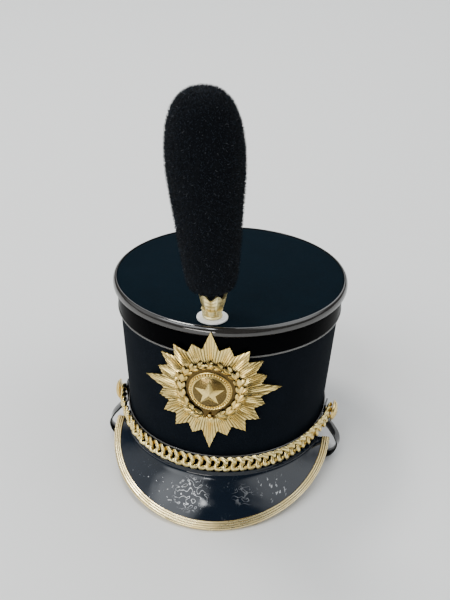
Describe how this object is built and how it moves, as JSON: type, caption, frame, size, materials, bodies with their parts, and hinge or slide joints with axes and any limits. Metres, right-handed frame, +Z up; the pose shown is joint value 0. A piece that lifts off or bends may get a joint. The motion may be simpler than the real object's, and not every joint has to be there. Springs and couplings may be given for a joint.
{
  "type": "shako hat",
  "caption": "Tall stiff black cloth dress cap with a flat top, glossy bands, a downturned peak, gilt chain, side buttons and front plate, and an upright wool pompon.",
  "frame": {"origin": "on the level surface that the hat stands on, under the middle of the whole hat's box", "axes": "+Z up from the surface, -Y towards the peak and front plate, +X towards the wearer's left; the crown leans back 8.2 degrees as the hat rests"},
  "size_m": [0.2094, 0.2568, 0.3494],
  "materials": {
    "cloth": "black felted wool cloth, matte",
    "patent_leather": "black patent leather, glossy",
    "gilt": "pale gilt brass, polished",
    "wool": "black clipped curly wool",
    "white_leather": "white leather, smooth"
  },
  "bodies": {
    "root": {"crown_body": "cloth", "crown_top": "cloth", "top_rim": "patent_leather", "top_band": "patent_leather", "base_band": "patent_leather", "peak": "patent_leather", "peak_edge": "gilt", "chain": "gilt", "button_left": "gilt", "button_right": "gilt", "chin_strap": "patent_leather", "front_plate": "gilt", "pompon": "wool", "pompon_cup": "gilt", "pompon_washer": "white_leather"}
  },
  "joints": []
}
